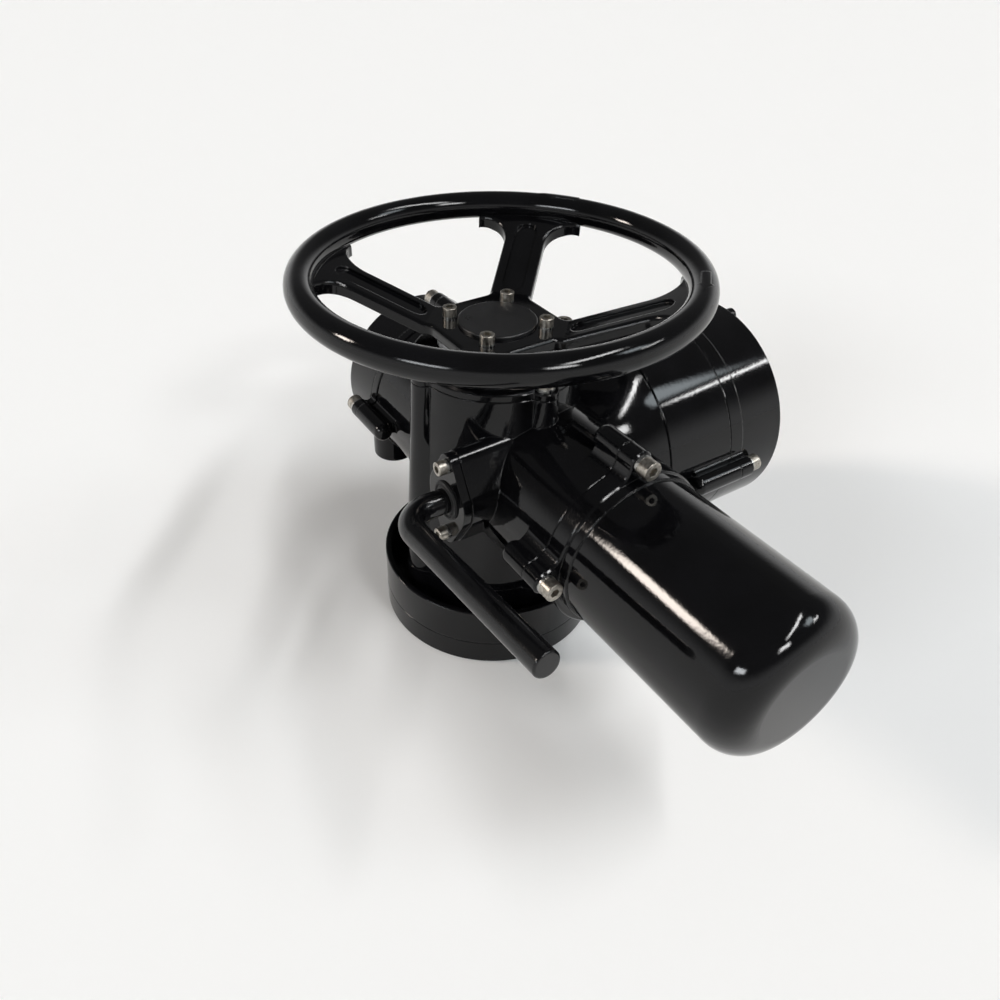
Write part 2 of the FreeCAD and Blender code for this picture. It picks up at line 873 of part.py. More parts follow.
def top_cover():
    """Lobed lid of the column with a round boss for the handwheel's bush."""
    plate = lobed_disc("Z", ORIGIN, column_top_radius, ORIGIN, lobe_circle, lobe_top_radius, lid_blend,
                       column_top, lid_top)
    plate = chamfered(plate, seam_break, edge_in_plane("Z", column_top))
    plate = chamfered(plate, seam_break, edge_in_plane("Z", lid_top))
    boss = rod("Z", ORIGIN, lid_boss_radius, lid_top, lid_boss_top)
    boss = rounded(boss, edge_break, circle_at("Z", lid_boss_top, lid_boss_radius))
    cuts = [rod("Z", ORIGIN, bush_outer, column_top, lid_boss_top),
            rod("Z", ORIGIN, lip_outer, bush_top, lid_boss_top)]
    cuts += [rod("Z", around(ORIGIN, lobe_circle, angle), M8_HOLE, column_top, lid_top) for angle in QUARTERS]
    return without(union([plate, boss]), cuts)


def handwheel_bush():
    return ring("Z", ORIGIN, bush_outer, drive_neck + running, column_top, bush_top)


def handwheel_seal():
    return ring("Z", ORIGIN, lip_outer, drive_neck + running, bush_top, lid_boss_top)


def motor_cover():
    """Flanged motor shell, closed and rounded at the far end."""
    inner_end = motor_end - motor_end_wall
    barrel = rod("X", MOTOR, motor_radius, housing_face, motor_end)
    barrel = rounded(barrel, motor_end_round, circle_at("X", motor_end, motor_radius))
    collar_end, collar_radius = collar_face + collar_length, motor_radius + collar_step
    collar = rod("X", MOTOR, collar_radius, collar_face, collar_end)
    collar = rounded(collar, collar_round, circle_at("X", collar_end, collar_radius))
    flange = lobed_disc("X", NECK, neck_radius, MOTOR, motor_screw_circle, motor_boss_radius, motor_blend,
                        housing_face, collar_face)
    flange = chamfered(flange, seam_break, edge_in_plane("X", housing_face))
    flange = chamfered(flange, edge_break, edge_in_plane("X", collar_face))
    inside = rod("X", MOTOR, stator_radius, housing_face, inner_end)
    inside = rounded(inside, motor_end_round - motor_end_wall, circle_at("X", inner_end, stator_radius))
    holder = ring("X", MOTOR, motor_bearing_outer + rear_hub_wall, motor_bearing_outer,
                  rear_bearing, inner_end + cut_over)
    holes = [rod("X", around(MOTOR, motor_screw_circle, angle), M8_HOLE, housing_face, collar_face)
             for angle in QUARTERS]
    shell = without(union([barrel, collar, flange]), [inside])
    return without(union([shell, holder]), holes)


def motor_end_plate():
    """Bearing shield that closes the motor towards the gears."""
    end = housing_face + end_plate_thickness
    hub_end = end + motor_bearing_width
    body = union([rod("X", MOTOR, stator_radius - running, housing_face, end),
                  rod("X", MOTOR, motor_bearing_outer + bearing_hub_wall, end, hub_end)])
    return without(body, [rod("X", MOTOR, motor_bearing_outer, end, hub_end),
                          rod("X", MOTOR, motor_shaft_radius + shaft_hole_play, housing_face, end)])


def motor_bearings():
    front = housing_face + end_plate_thickness
    return [ball_bearing("X", MOTOR, motor_shaft_radius + running, motor_bearing_outer, start,
                         motor_bearing_width, motor_bearing_balls) for start in (front, rear_bearing)]


def stator_core():
    return ring("X", MOTOR, stator_radius - running, rotor_radius, stator_start, stator_start + stator_length)


def stator_windings():
    """Winding heads at both ends of the stator."""
    heads = []
    for start in (stator_start - winding_length, stator_start + stator_length):
        head = ring("X", MOTOR, winding_outer, winding_inner, start, start + winding_length)
        heads.append(rounded(head, winding_round, lambda edge: isinstance(edge.Curve, Part.Circle)))
    return heads


def rotor_core():
    return ring("X", MOTOR, rotor_radius - air_gap, motor_shaft_radius, stator_start,
                stator_start + stator_length)


def motor_shaft():
    start = spur_start - shaft_spare
    end = rear_bearing + motor_bearing_width + shaft_spare
    return rounded(rod("X", MOTOR, motor_shaft_radius, start, end), edge_break / 2,
                   circle_at("X", start, motor_shaft_radius))


def motor_pinion():
    """Gear on the end of the motor shaft."""
    end = spur_start + spur_width
    body = prism("X", gear_outline(MOTOR, pinion_teeth, spur_module, spur_play, 0), spur_start, end)
    return body.cut(rod("X", MOTOR, motor_shaft_radius, spur_start, end))


def reduction_gear():
    """Gear on the worm shaft, driven by the motor's gear."""
    start, end = spur_start + spur_inset, spur_start + spur_width - spur_inset
    body = prism("X", gear_outline(WORM, gear_teeth, spur_module, spur_play, 180 / gear_teeth), start, end)
    return body.cut(rod("X", WORM, worm_shaft_end, start, end))


def worm_thread():
    """One right-handed thread, swept along a helix and laid along the shaft."""
    slope = math.tan(math.radians(tooth_angle))
    foot = worm_root - thread_root_cover
    mouth = thread_half + slope * (worm_pitch_radius - foot)
    crest = thread_half - slope * (worm_tip - worm_pitch_radius)
    corners = [V(foot, 0, -mouth), V(worm_tip, 0, -crest), V(worm_tip, 0, crest), V(foot, 0, mouth)]
    outline = Part.makePolygon(corners + corners[:1])
    length = worm_turns * worm_lead
    path = Part.Wire(Part.makeHelix(worm_lead, length, worm_pitch_radius))
    thread = path.makePipeShell([outline], True, True)
    thread.rotate(V(0, 0, 0), AXES["Y"], 90)
    thread.rotate(V(0, 0, 0), AXES["X"], 90)
    thread.translate(spot("X", WORM, -length / 2))
    return thread


def worm_shaft():
    """Worm with its journals, from the spring pack to the reduction gear."""
    journal_end = web_right + web_thickness + web_cone_play
    shaft_end = spur_start + spur_width
    core = revolved("X", WORM, [(0, -spring_start), (worm_shaft_end, -spring_start),
                                (worm_shaft_end, -spring_stop), (worm_bearing_bore, -spring_stop),
                                (worm_bearing_bore, -web_left), (worm_root, -web_left),
                                (worm_root, web_right), (worm_bearing_bore, web_right),
                                (worm_bearing_bore, journal_end), (worm_shaft_end, journal_end),
                                (worm_shaft_end, shaft_end), (0, shaft_end)])
    return union([core, worm_thread()])


def worm_bearings():
    starts = (-web_left - web_thickness, web_right + web_thickness - worm_bearing_width)
    return [ball_bearing("X", WORM, worm_bearing_bore + running, worm_bearing_outer, start,
                         worm_bearing_width, worm_bearing_balls) for start in starts]


def torque_springs():
    """Stack of disc springs that lets the torque be felt, with its nut."""
    nut_end = spring_nut_height - spring_start
    step = (-spring_stop - nut_end) / spring_count
    parts = []
    for n in range(spring_count):
        foot = nut_end + n * step
        first, last = (spring_outer, spring_inner) if n % 2 else (spring_inner, spring_outer)
        parts.append(taper("X", WORM, first, last, foot, foot + step))
    parts.append(prism("X", hexagon(WORM, spring_nut_radius), -spring_start, nut_end))
    return [part.cut(rod("X", WORM, worm_shaft_end, -spring_start, -spring_stop)) for part in parts]


def tooth_gap_cutter():
    """Slanted bar that cuts one tooth gap of the worm wheel."""
    tip = worm_module * (wheel_teeth / 2 + 1) + cut_over
    root = worm_module * (wheel_teeth / 2 - tooth_root)
    pitch = worm_module * wheel_teeth / 2
    slope = math.tan(math.radians(tooth_angle))
    gap = worm_lead / 4 + tooth_play / 2
    foot, mouth = gap - slope * (pitch - root), gap + slope * (tip - pitch)
    lean = -worm_lead / (2 * math.pi * worm_pitch_radius)
    height = wheel_thickness + 2 * cut_over
    low, shift = wheel_foot - cut_over, lean * height / 2
    corners = [V(-foot - shift, root, low), V(foot - shift, root, low),
               V(mouth - shift, tip, low), V(-mouth - shift, tip, low)]
    return Part.Face(Part.makePolygon(corners + corners[:1])).extrude(V(lean * height, 0, height))


def worm_wheel():
    """Wheel with slanted tooth gaps and four driving dogs on top."""
    tip = worm_module * (wheel_teeth / 2 + 1)
    body = ring("Z", ORIGIN, tip, spline_radius + running, wheel_foot, wheel_top)
    gaps = turned_copies(tooth_gap_cutter(), [360 * tooth / wheel_teeth for tooth in range(wheel_teeth)])
    return union([without(body, gaps)] + dogs(wheel_top, wheel_top + dog_height, 0))


def dogs(start, end, turn):
    """Ring of clutch dogs between two levels."""
    whole = ring("Z", ORIGIN, dog_outer, dog_inner, start, end)
    reach = dog_outer * 2
    corners = [ORIGIN] + [around(ORIGIN, reach, turn + side * dog_span / 2) for side in (-1, 0, 1)]
    wedge = prism("Z", corners, start, end)
    return turned_copies(whole.common(wedge), [360 * n / dog_count for n in range(dog_count)])


def splines(slack, start, end):
    """Bars that fill, or cut, the sliding grooves of the output sleeve."""
    half = spline_half_width + slack
    low = (spline_radius - spline_depth, -half, start)
    high = (spline_radius + spline_over, half, end)
    return turned_copies(block(low, high), QUARTERS)


def output_sleeve():
    """Hollow output shaft: keyed bore below, grooves for the clutch above."""
    collar_foot = wheel_foot - wheel_collar_height
    body = revolved("Z", ORIGIN, [(bore_radius, sleeve_foot), (journal_radius, sleeve_foot),
                                  (journal_radius, crown_root), (spline_radius, crown_root),
                                  (spline_radius, collar_foot), (spline_radius + wheel_collar, collar_foot),
                                  (spline_radius + wheel_collar, wheel_foot), (spline_radius, wheel_foot),
                                  (spline_radius, spline_top), (neck_journal, spline_top),
                                  (neck_journal, sleeve_top), (bore_radius, sleeve_top)])
    keyway = block((0, -key_width / 2, sleeve_foot),
                   (bore_radius + key_depth, key_width / 2, sleeve_foot + key_length))
    return without(body, splines(0, wheel_top, spline_top) + [keyway])


def bearing_spacer():
    return ring("Z", ORIGIN, journal_radius + spacer_wall, journal_radius, lower_bearing + bearing_width,
                upper_bearing)


def wheel_retainer():
    start = wheel_top + wheel_ring_gap
    return ring("Z", ORIGIN, dog_inner - retainer_step, spline_radius, start, start + wheel_ring_height)


def spring_retainer():
    top = spline_top + retainer_height
    return ring("Z", ORIGIN, dog_inner - retainer_step, neck_journal, spline_top, top)


def crown_gear():
    """Ring with teeth on its upper face that drives the position shaft."""
    outer, inner = crown_radius + crown_width / 2, crown_radius - crown_width / 2
    collar, rim_foot = journal_radius + crown_collar, crown_root - crown_rim_height
    body = revolved("Z", ORIGIN, [(journal_radius, cavity_floor), (collar, cavity_floor), (collar, rim_foot),
                                  (outer + crown_rim, rim_foot), (outer + crown_rim, crown_root),
                                  (journal_radius, crown_root)])
    half = math.pi * crown_module / 4 - crown_play / 2
    slope = math.tan(math.radians(tooth_angle))
    foot = half + slope * (crown_line - crown_root)
    crest = half - slope * crown_module
    top = crown_line + crown_module
    corners = [V(inner, -foot, crown_root), V(inner, foot, crown_root),
               V(inner, crest, top), V(inner, -crest, top)]
    tooth = Part.Face(Part.makePolygon(corners + corners[:1])).extrude(V(crown_width, 0, 0))
    return union([body] + turned_copies(tooth, [360 * (n + 0.5) / crown_teeth for n in range(crown_teeth)]))


def clutch_ring():
    """Sliding ring with dogs below and above and a lifting flange."""
    bore = spline_radius + running
    body = revolved("Z", ORIGIN, [(bore, clutch_disc), (dog_outer, clutch_disc),
                                  (dog_outer, clutch_neck_foot), (dog_inner, clutch_neck_foot),
                                  (dog_inner, clutch_collar),
                                  (clutch_flange_radius, clutch_collar), (clutch_flange_radius, clutch_top),
                                  (bore, clutch_top)])
    key_ring = ring("Z", ORIGIN, bore + clutch_key_root, spline_radius - spline_depth + slide_gap,
                    clutch_disc, clutch_top)
    keys = [bar.common(key_ring) for bar in splines(-slide_gap, clutch_disc, clutch_top)]
    half_dog = 180 / dog_count
    lower = dogs(wheel_top + dog_tip_gap, clutch_disc, half_dog)
    upper = dogs(clutch_top, clutch_dog_top, half_dog)
    return union([body] + keys + lower + upper)


def clutch_spring():
    """Coil spring between the clutch flange and its retainer."""
    centre = (spline_radius + dog_inner) / 2
    room = spring_wire + spring_wire_gap
    foot = clutch_top + room
    height = spline_top - clutch_top - 2 * room
    path = Part.Wire(Part.makeHelix(height / spring_coils, height, centre))
    path.translate(V(0, 0, foot))
    section = Part.Wire(Part.makeCircle(spring_wire, V(centre, 0, foot), AXES["Y"]))
    return path.makePipeShell([section], True, True)


def hub_screw_places():
    return [around(ORIGIN, hub_screw_circle, spoke_turn + angle) for angle in QUARTERS]


def drive_sleeve():
    """Sleeve that carries the handwheel and meets the clutch from above."""
    bore = neck_journal + running
    shoulder, flange_foot = column_top - seat_gap, lid_boss_top + seat_gap
    body = revolved("Z", ORIGIN, [(dog_inner, drive_dog_root), (drive_radius, drive_dog_root),
                                  (drive_radius, shoulder), (drive_neck, shoulder), (drive_neck, flange_foot),
                                  (drive_flange_radius, flange_foot), (drive_flange_radius, hub_foot),
                                  (bore, hub_foot), (bore, drive_cavity), (dog_inner, drive_cavity)])
    holes = [rod("Z", place, M6_HOLE, flange_foot, hub_foot) for place in hub_screw_places()]
    return union([without(body, holes)] + dogs(drive_dog_foot, drive_dog_root, 0))


def spoke_level(reach):
    """Level of the spokes' upper face at a distance from the axis."""
    return hub_top + spoke_slope * (reach - hub_crease)


def spoke_pair():
    """Two opposite spokes and the hub between them, before the windows are cut."""
    knee = spoke_end - spoke_knee
    root = hub_crease + (spoke_thickness - hub_thickness) / spoke_slope
    half = [(hub_crease, hub_top), (spoke_end, spoke_top), (spoke_end, spoke_top - spoke_lip),
            (knee, spoke_level(knee) - spoke_thickness), (root, hub_foot)]
    outline = half + [(-reach, level) for reach, level in reversed(half)]
    return prism("Y", outline, -spoke_bar_half, spoke_bar_half)


def hub_window(angle):
    """Opening between two spokes, with rounded corners."""
    near = math.degrees(math.asin(spoke_half_width / window_inner))
    far = math.degrees(math.asin(spoke_half_width / window_outer))
    first, last = angle - spoke_turn, angle + spoke_turn
    places = [(window_inner, first + near), (window_outer, first + far), (window_outer, angle),
              (window_outer, last - far), (window_inner, last - near)]
    foot = hub_foot - window_height / 2
    corner = [spot("Z", around(ORIGIN, radius, turn), foot) for radius, turn in places]
    outline = Part.Wire([Part.LineSegment(corner[0], corner[1]).toShape(),
                         Part.Arc(corner[1], corner[2], corner[3]).toShape(),
                         Part.LineSegment(corner[3], corner[4]).toShape(),
                         Part.LineSegment(corner[4], corner[0]).toShape()])
    body = Part.Face(outline).extrude(AXES["Z"] * (2 * window_height))
    middle = (window_inner + window_outer) / 2

    def corner_edge(outer):
        def wanted(edge):
            away = math.hypot(edge.CenterOfMass.x, edge.CenterOfMass.y)
            return edge.BoundBox.ZLength > window_height and (away > middle) == outer
        return wanted

    body = rounded(body, window_outer_round, corner_edge(True))
    return rounded(body, window_inner_round, corner_edge(False))


def spoke_pocket():
    """Shallow pocket with round ends along the spoke that points along +X."""
    slot = banded("Z", (pocket_inner, 0), pocket_half_width, (pocket_outer, 0), pocket_half_width,
                  hub_foot, wheel_rim_level)
    skin = [(hub_crease, hub_top - pocket_depth), (spoke_end, spoke_top - pocket_depth),
            (spoke_end, spoke_top + pocket_depth), (hub_crease, hub_top + pocket_depth)]
    return slot.common(prism("Y", skin, -spoke_bar_half, spoke_bar_half))


def flank_top_edges(web):
    """Upper edges of the window walls, which the casting has well rounded."""
    def lean(face):
        first, last, low, high = face.ParameterRange
        return face.normalAt((first + last) / 2, (low + high) / 2).z

    def reach(item):
        return math.hypot(item.CenterOfMass.x, item.CenterOfMass.y)

    walls = [face for face in web.Faces if abs(lean(face)) < same_place and reach(face) < window_outer]
    top = {edge.hashCode() for face in web.Faces if lean(face) > 0.5 for edge in face.Edges}
    return [edge for face in walls for edge in face.Edges
            if edge.hashCode() in top and reach(edge) < window_outer]


def rim_arrow(tail, tip):
    """Raised direction arrow along the top of the rim."""
    neck = tail + (tip - tail) * arrow_head_start
    shaft, head = arrow_shaft_width / 2, arrow_head_width / 2
    corners = [(-shaft, tail), (shaft, tail), (shaft, neck), (head, neck),
               (0, tip), (-head, neck), (-shaft, neck)]
    outline = [around(ORIGIN, wheel_rim_circle + side, angle) for side, angle in corners]
    swollen = Part.makeTorus(wheel_rim_circle, wheel_rim_radius + arrow_rise, V(0, 0, wheel_rim_level))
    return swollen.common(prism("Z", outline, wheel_rim_level, wheel_rim_level + 2 * wheel_rim_radius))


def handwheel():
    """Cast wheel: hub plate, four pocketed spokes and a round rim with two direction arrows."""
    hub = rod("Z", ORIGIN, hub_radius, hub_foot, hub_top)
    web = union([hub] + turned_copies(spoke_pair(), [spoke_turn, spoke_turn + 90]))
    web = without(web, [hub_window(angle) for angle in QUARTERS])
    web = web.makeFillet(spoke_round, flank_top_edges(web))
    web = without(web, turned_copies(spoke_pocket(), [spoke_turn + angle for angle in QUARTERS]))
    rim = Part.makeTorus(wheel_rim_circle, wheel_rim_radius, V(0, 0, wheel_rim_level))
    arrows = [rim_arrow(tail, tip) for tail, tip in arrow_angles]
    holes = [rod("Z", place, M6_HOLE, hub_foot, hub_top) for place in hub_screw_places()]
    return without(union([web, rim] + arrows), holes + [rod("Z", ORIGIN, cap_spigot, hub_foot, hub_top)])


def handwheel_cap():
    cap_top = hub_top + cap_thickness
    body = rod("Z", ORIGIN, cap_radius, hub_top, cap_top)
    body = rounded(body, edge_break, circle_at("Z", cap_top, cap_radius))
    return union([body, rod("Z", ORIGIN, cap_spigot - running, hub_top - cap_spigot_depth, hub_top)])


def handwheel_screws():
    length = hub_thickness + m6_washer + hub_screw_thread
    return [cap_screw("Z", place, hub_top + m6_washer, 1, M6, length) for place in hub_screw_places()]


def handwheel_washers():
    return [spring_washer("Z", place, hub_top, 1, M6_HOLE, m6_washer) for place in hub_screw_places()]


def plug_centre():
    return around(DRUM, plug_circle, plug_angle)


def control_cover():
    """Drum cover with a screw flange, closed at the far end."""
    flange_end = drum_face + drum_flange
    outer, inner = drum_radius - drum_step, drum_radius - drum_wall
    body = rod("Y", DRUM, outer, flange_end, drum_end)
    body = rounded(body, drum_end_round, circle_at("Y", drum_end, outer))
    flange = lobed_disc("Y", DRUM, drum_radius, DRUM, drum_screw_circle, drum_boss_radius, drum_blend,
                        drum_face, flange_end)
    flange = chamfered(flange, seam_break, edge_in_plane("Y", drum_face))
    flange = chamfered(flange, seam_break, edge_in_plane("Y", flange_end))
    plug = plug_centre()
    cuts = [rod("Y", DRUM, inner, drum_face, drum_end - drum_wall),
            rod("Y", plug, plug_shank, drum_end - plug_depth, drum_end),
            rod("Y", plug, plug_vent, drum_end - drum_wall, drum_end)]
    cuts += [rod("Y", around(DRUM, drum_screw_circle, angle), M8_HOLE, drum_face, flange_end)
             for angle in QUARTERS]
    return without(union([body, flange]), cuts)


def vent_plug():
    """Small hollow screw plug near the rim of the control cover's end."""
    plug = plug_centre()
    top = drum_end + plug_height
    head = rounded(rod("Y", plug, plug_radius, drum_end, top), edge_break, circle_at("Y", top, plug_radius))
    body = union([head, rod("Y", plug, plug_shank, drum_end - plug_depth, drum_end)])
    return without(body, [prism("Y", hexagon(plug, plug_socket), top - plug_socket_depth, top + cut_over),
                          rod("Y", plug, plug_vent, drum_end - plug_depth, top)])


def terminal_cover():
    """Short cover of the terminal compartment, with the cable entry under it."""
    flange_end = -terminal_face - terminal_flange
    outer, inner = terminal_radius + terminal_step, terminal_radius - terminal_wall
    body = rod("X", TERMINAL, outer, -terminal_end, flange_end)
    body = rounded(body, end_round, circle_at("X", -terminal_end, outer))
    flange = lobed_disc("X", TERMINAL, outer, TERMINAL, terminal_screw_circle, terminal_boss_radius,
                        terminal_blend, flange_end, -terminal_face)
    flange = chamfered(flange, seam_break, edge_in_plane("X", -terminal_face))
    flange = chamfered(flange, seam_break, edge_in_plane("X", flange_end))
    entry = rod("Z", ENTRY, entry_radius, entry_level, gear_level)
    entry = rounded(entry, entry_round, circle_at("Z", entry_level, entry_radius))
    thread_end = entry_level + entry_depth
    cuts = [rod("X", TERMINAL, inner, terminal_wall - terminal_end, -terminal_face),
            rod("Z", ENTRY, entry_bore, entry_level, thread_end),
            rod("Z", ENTRY, entry_relief, thread_end, gear_level)]
    cuts += [rod("X", around(TERMINAL, terminal_screw_circle, angle), M8_HOLE, flange_end, -terminal_face)
             for angle in QUARTERS]
    return without(union([body, flange, entry]), cuts)


def pole_places():
    """Centre of each pole of the terminal block, across the motor axis."""
    step = block_length / pole_count
    level = gear_level - block_drop - block_height / 2
    return [(motor_offset - block_length / 2 + step * (pole + 0.5), level) for pole in range(pole_count)]


def terminal_block():
    """Moulded block on the compartment's back wall, one well for each pole."""
    back = -web_left - web_thickness
    front = back - block_depth
    body = block((front, motor_offset - block_length / 2, gear_level - block_drop - block_height),
                 (back, motor_offset + block_length / 2, gear_level - block_drop))
    well = block_length / pole_count * well_share
    return without(body, [rod("X", place, well, front, front + well_depth) for place in pole_places()])


def terminal_clamps():
    """Screw of each pole, seated in its well."""
    seat = well_depth - web_left - web_thickness - block_depth
    head = block_length / pole_count * clamp_share
    screws = []
    for across, level in pole_places():
        slot = block((seat - clamp_height - cut_over, across - head, level - clamp_slot / 2),
                     (seat - clamp_height + clamp_slot, across + head, level + clamp_slot / 2))
        screws.append(rod("X", (across, level), head, seat - clamp_height, seat).cut(slot))
    return screws


def lever_cap():
    """Lobed end plate of the lever boss."""
    end = -stub_end - lever_cap_thickness
    plate, lug = stub_radius - stub_step, stub_lobe_radius - stub_step
    body = union([banded("Y", LEVER, plate, lobe, lug, end, -stub_end) for lobe in LEVER_LOBES])
    cuts = [rod("Y", LEVER, lever_radius + running, end, -stub_end),
            rod("Y", LEVER, lever_radius + lever_seal_wall, end, -stub_end - lever_cap_land)]
    cuts += [rod("Y", lobe, M6_HOLE, end, -stub_end) for lobe in LEVER_LOBES]
    return without(body, cuts)


def lever_seal():
    """Ring seal round the lever shaft, with a moulded groove on its face."""
    face = -stub_end - lever_cap_thickness - lever_seal_stand
    body = ring("Y", LEVER, lever_radius + lever_seal_wall, lever_radius + running, face,
                -stub_end - lever_cap_land)
    middle = lever_radius + lever_seal_wall / 2
    groove = Part.makeTorus(middle, lever_seal_groove, spot("Y", LEVER, face), AXES["Y"])
    return body.cut(groove)


def lever_cap_screws():
    seat = -stub_end - lever_cap_thickness - m6_washer
    length = lever_cap_thickness + m6_washer + lever_cap_thread
    return [cap_screw("Y", lobe, seat, -1, M6, length) for lobe in LEVER_LOBES]


def lever_cap_washers():
    seat = -stub_end - lever_cap_thickness
    return [spring_washer("Y", lobe, seat, -1, M6_HOLE, m6_washer) for lobe in LEVER_LOBES]


def declutch_lever():
    """Round bar: the shaft in its boss, one bend and the hand grip."""
    inner = fork_arm_gap + fork_arm_thickness + lever_shaft_spare
    bend, start = lever_bend - lever_plane, lever_place + lever_bend
    shaft = rod("Y", LEVER, lever_radius, bend, inner)
    section = Part.Face(Part.Wire(Part.makeCircle(lever_radius, spot("Y", LEVER, bend), AXES["Y"])))
    elbow = section.revolve(V(start, bend, lever_level), AXES["Z"], 90)
    end = lever_place + lever_reach
    grip = rod("X", (-lever_plane, lever_level), lever_radius, start, end)
    grip = rounded(grip, lever_end_round, circle_at("X", end, lever_radius))
    body = union([shaft, elbow, grip])
    body.rotate(spot("Y", LEVER, 0), AXES["Y"], -lever_tilt)
    return body


def shift_fork():
    """Fork on the lever shaft whose pins lift the clutch flange."""
    pin = (lever_place - fork_reach, lever_level + fork_rise)
    outer = fork_arm_gap + fork_arm_thickness
    parts = [rod("Y", LEVER, fork_hub_radius, -outer, outer)]
    for side in (-1, 1):
        start, end = sorted((side * fork_arm_gap, side * outer))
        parts.append(banded("Y", LEVER, fork_hub_radius, pin, fork_pin_radius, start, end))
        parts.append(rod("Y", pin, fork_pin_radius, side * (fork_arm_gap - pin_length), side * outer))
    return union(parts).cut(rod("Y", LEVER, lever_radius, -outer, outer))


def control_plate():
    body = rod("Y", DRUM, drum_radius - drum_wall - plate_play, plate_start, plate_start + plate_thickness)
    return without(body, [rod("Y", centre, shaft_radius + running, plate_start, plate_start + plate_thickness)
                          for centre in (DRUM, CAM)])


def control_posts():
    """Pillars that carry the switch plate off the drum's inner wall."""
    floor = drum_start + partition_thickness
    return [prism("Y", hexagon(around(DRUM, post_circle, angle), post_radius), floor, plate_start)
            for angle in post_angles]


def position_shaft():
    """Shaft from the crown gear to the switch gears, with both pinions."""
    inner = crown_radius - crown_width / 2 + crown_end_gap
    reach = crown_radius + crown_width / 2 - crown_end_gap
    first = gear_outline(DRUM, crown_pinion_teeth, crown_module, crown_pinion_play, 0)
    second = gear_outline(DRUM, cam_pinion_teeth, cam_module, spur_play, 0)
    shaft_end = plate_start + plate_thickness + cam_gear_width + cam_shaft_room
    return union([prism("Y", first, inner, reach), rod("Y", DRUM, shaft_radius, reach, shaft_end),
                  prism("Y", second, gear_face, gear_face + cam_gear_width)])


def cam_shaft():
    """Slow shaft with its large gear and the switching cams."""
    outline = gear_outline(CAM, cam_gear_teeth, cam_module, spur_play, 0)
    shaft_end = gear_face + cam_gear_width + cam_count * cam_pitch + cam_shaft_room
    parts = [prism("Y", outline, gear_face, gear_face + cam_gear_width),
             rod("Y", CAM, shaft_radius, plate_start - cam_shaft_tail, shaft_end)]
    for n in range(cam_count):
        start = cam_start + n * cam_pitch
        notch = around(CAM, cam_radius + cam_notch_set, 90 + cam_step_angle * n)
        parts.append(rod("Y", CAM, cam_radius, start, start + cam_width)
                     .cut(rod("Y", notch, cam_notch_radius, start, start + cam_width)))
    return union(parts)


def microswitches():
    """Row of small switches above the cams, with a plunger on each."""
    level = drum_level + cam_radius + switch_lift
    switches = []
    for n in range(cam_count):
        start = cam_start + n * cam_pitch
        body = block((CAM[0] - switch_half, start, level),
                     (CAM[0] + switch_half, start + cam_width, bracket_level))
        plunger = rod("Z", (CAM[0], start + cam_width / 2), plunger_radius, level - plunger_length, level)
        switches.append(union([body, plunger]))
    return switches


def switch_bracket():
    """Angle bracket that carries the switches on the plate."""
    face = plate_start + plate_thickness
    end = cam_start + cam_count * cam_pitch
    left, right = CAM[0] - bracket_half, CAM[0] + bracket_half
    shelf = block((left, face, bracket_level), (right, end, bracket_level + bracket_thickness))
    back = block((left, face, bracket_level),
                 (right, face + bracket_thickness, bracket_level + bracket_height))
    return union([shelf, back])


def shaft_bush():
    """Plain bush of the position shaft in the drum wall."""
    start = drum_start + partition_thickness
    outer = shaft_radius + shaft_bush_wall
    return ring("Y", DRUM, outer, shaft_radius + running, start, start + shaft_bush_length)


def save(name, shape):
    solids = shape if isinstance(shape, list) else [shape]
    body = solids[0] if len(solids) == 1 else Part.makeCompound(solids)
    body.exportStep("parts/" + name + ".step")
    print(name, len(body.Solids), "valid" if body.isValid() else "INVALID", round(body.Volume / 1000, 2))


os.makedirs("parts", exist_ok=True)
top_joint = ("Z", ORIGIN, lobe_circle, lid_top, 1)
motor_joint = ("X", MOTOR, motor_screw_circle, collar_face, 1)
control_joint = ("Y", DRUM, drum_screw_circle, drum_face + drum_flange, 1)
terminal_joint = ("X", TERMINAL, terminal_screw_circle, -terminal_face - terminal_flange, -1)
save("mounting_ring", mounting_ring())
save("ring_screws", ring_screws())
save("output_seal", output_seal())
save("base_cup", base_cup())
save("base_screws", base_screws())
save("output_bearings", output_bearings())
save("gear_housing", gear_housing())
save("joint_seals", joint_seals())
save("top_cover", top_cover())
save("top_cover_screws", cover_screws(*top_joint, lid_screw_length))
save("handwheel_bush", handwheel_bush())
save("handwheel_seal", handwheel_seal())
save("motor_cover", motor_cover())
save("motor_screws", cover_screws(*motor_joint))
save("motor_end_plate", motor_end_plate())
save("motor_bearings", motor_bearings())
save("stator_core", stator_core())
save("stator_windings", stator_windings())
save("rotor_core", rotor_core())
save("motor_shaft", motor_shaft())
save("motor_pinion", motor_pinion())
save("reduction_gear", reduction_gear())
save("worm_shaft", worm_shaft())
save("worm_bearings", worm_bearings())
save("torque_springs", torque_springs())
save("worm_wheel", worm_wheel())
save("output_sleeve", output_sleeve())
save("bearing_spacer", bearing_spacer())
save("wheel_retainer", wheel_retainer())
save("spring_retainer", spring_retainer())
save("crown_gear", crown_gear())
save("clutch_ring", clutch_ring())
save("clutch_spring", clutch_spring())
save("drive_sleeve", drive_sleeve())
save("handwheel", handwheel())
save("handwheel_cap", handwheel_cap())
save("handwheel_screws", handwheel_screws())
save("handwheel_washers", handwheel_washers())
save("control_cover", control_cover())
save("control_screws", cover_screws(*control_joint))
save("vent_plug", vent_plug())
save("terminal_cover", terminal_cover())
save("terminal_screws", cover_screws(*terminal_joint))
save("terminal_block", terminal_block())
save("terminal_clamps", terminal_clamps())
save("cover_washers", [washer for joint in (top_joint, motor_joint, control_joint, terminal_joint)
                       for washer in cover_washers(*joint)])
save("lever_cap", lever_cap())
save("lever_seal", lever_seal())
